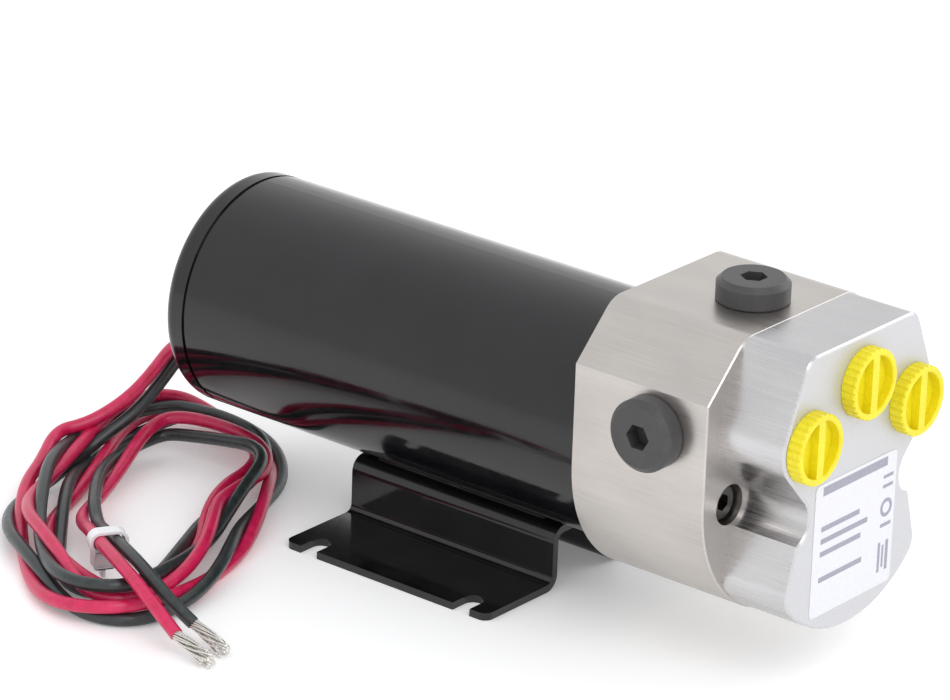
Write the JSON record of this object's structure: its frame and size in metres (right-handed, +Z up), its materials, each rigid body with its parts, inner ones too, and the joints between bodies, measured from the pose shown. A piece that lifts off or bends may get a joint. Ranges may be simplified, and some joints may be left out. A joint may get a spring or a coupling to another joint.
{
  "type": "hydraulic power unit",
  "caption": "Compact reversing hydraulic power unit: a brushed motor on a sheet-steel foot drives a gear pump in an aluminium block with capped ports and loose leads.",
  "frame": {"origin": "on the surface that the foot stands on, below the middle of the unit's length and width, leads not counted", "axes": "+X along the motor's axis towards the ports, +Z up, +Y to the left when looking along +X"},
  "size_m": [0.2373, 0.1576, 0.096],
  "materials": {
    "motor_paint": "gloss",
    "foot_paint": "gloss",
    "grommet_rubber": "matte",
    "seal_rubber": "satin",
    "bright_steel": "satin",
    "screw_steel": "satin",
    "zinc_plate": "satin",
    "ferrite": "matte",
    "copper": "satin",
    "lamination": "satin",
    "phenolic": "matte",
    "carbon": "matte",
    "bronze": "satin",
    "block_aluminium": "satin",
    "housing_aluminium": "satin",
    "plug_grey": "matte",
    "cap_yellow": "satin",
    "label_film": "satin",
    "lead_red": "satin",
    "lead_black": "satin",
    "tinned_copper": "satin",
    "tie_nylon": "satin"
  },
  "bodies": {
    "unit": {"motor_can": "motor_paint", "rear_end_cap": "motor_paint", "lead_grommet": "grommet_rubber", "front_end_bell": "zinc_plate", "rear_bearing": "bright_steel", "front_bearing": "bright_steel", "field_magnets": "ferrite", "long_bolts": "zinc_plate", "brush_card": "phenolic", "left_brush_spring": "bright_steel", "right_brush_spring": "bright_steel", "mounting_bracket": "foot_paint", "bracket_welds": "foot_paint", "pump_body": "block_aluminium", "body_screws": "screw_steel", "housing_screws": "screw_steel", "dowel_pins": "bright_steel", "right_valve_plug": "plug_grey", "left_valve_plug": "plug_grey", "top_plug": "plug_grey", "plug_seals": "seal_rubber", "gear_chamber_seal": "seal_rubber", "left_check_spring": "bright_steel", "right_check_spring": "bright_steel", "valve_seats": "bright_steel", "shaft_bushes": "bronze", "shaft_seal": "seal_rubber", "port_housing": "housing_aluminium", "label_plate": "label_film", "red_lead_run": "lead_red", "black_lead_run": "lead_black", "lead_coil": "lead_red", "red_lead_tail": "lead_red", "black_lead_tail": "lead_black", "red_strands": "tinned_copper", "black_strands": "tinned_copper", "cable_tie": "tie_nylon"},
    "rotor": {"motor_shaft": "bright_steel", "bearing_inner_rings": "bright_steel", "armature_core": "lamination", "armature_windings": "copper", "commutator": "copper", "shaft_coupling": "bright_steel", "drive_gear": "bright_steel"},
    "idler": {"idler_gear": "bright_steel"},
    "spool": {"shuttle_spool": "bright_steel"},
    "left_poppet": {"left_check_poppet": "bright_steel"},
    "right_poppet": {"right_check_poppet": "bright_steel"},
    "left_brush_block": {"left_brush": "carbon"},
    "right_brush_block": {"right_brush": "carbon"},
    "left_cap": {"left_port_cap": "cap_yellow"},
    "top_cap": {"top_port_cap": "cap_yellow"},
    "right_cap": {"right_port_cap": "cap_yellow"}
  },
  "joints": [
    {"name": "rotor_spin", "type": "hinge", "parent": "unit", "child": "rotor", "pos_m": [0, 0, 0.0485], "axis": [1, 0, 0], "continuous": true},
    {"name": "idler_spin", "type": "hinge", "parent": "unit", "child": "idler", "pos_m": [0, 0, 0.0335], "axis": [1, 0, 0], "continuous": true},
    {"name": "spool_slide", "type": "slide", "parent": "unit", "child": "spool", "axis": [0, 1, 0], "range_m": [-0.001, 0.001]},
    {"name": "left_poppet_slide", "type": "slide", "parent": "unit", "child": "left_poppet", "axis": [0, 1, 0], "range_m": [0, 0.0015], "stiffness_N_per_m": 400, "springref_m": -0.002, "deforming": ["left_check_spring"]},
    {"name": "right_poppet_slide", "type": "slide", "parent": "unit", "child": "right_poppet", "axis": [0, -1, 0], "range_m": [0, 0.0015], "stiffness_N_per_m": 400, "springref_m": -0.002, "deforming": ["right_check_spring"]},
    {"name": "left_brush_slide", "type": "slide", "parent": "unit", "child": "left_brush_block", "axis": [0, 1, 0], "range_m": [0, 0.0012], "stiffness_N_per_m": 300, "springref_m": -0.004, "deforming": ["left_brush_spring"]},
    {"name": "right_brush_slide", "type": "slide", "parent": "unit", "child": "right_brush_block", "axis": [0, -1, 0], "range_m": [0, 0.0012], "stiffness_N_per_m": 300, "springref_m": -0.004, "deforming": ["right_brush_spring"]},
    {"name": "left_cap_removal", "type": "slide", "parent": "unit", "child": "left_cap", "axis": [1, 0, 0], "range_m": [0, 0.012]},
    {"name": "top_cap_removal", "type": "slide", "parent": "unit", "child": "top_cap", "axis": [1, 0, 0], "range_m": [0, 0.012]},
    {"name": "right_cap_removal", "type": "slide", "parent": "unit", "child": "right_cap", "axis": [1, 0, 0], "range_m": [0, 0.012]}
  ],
  "couplings": [
    {"joint": "idler_spin", "follows": "rotor_spin", "ratio": -1}
  ]
}
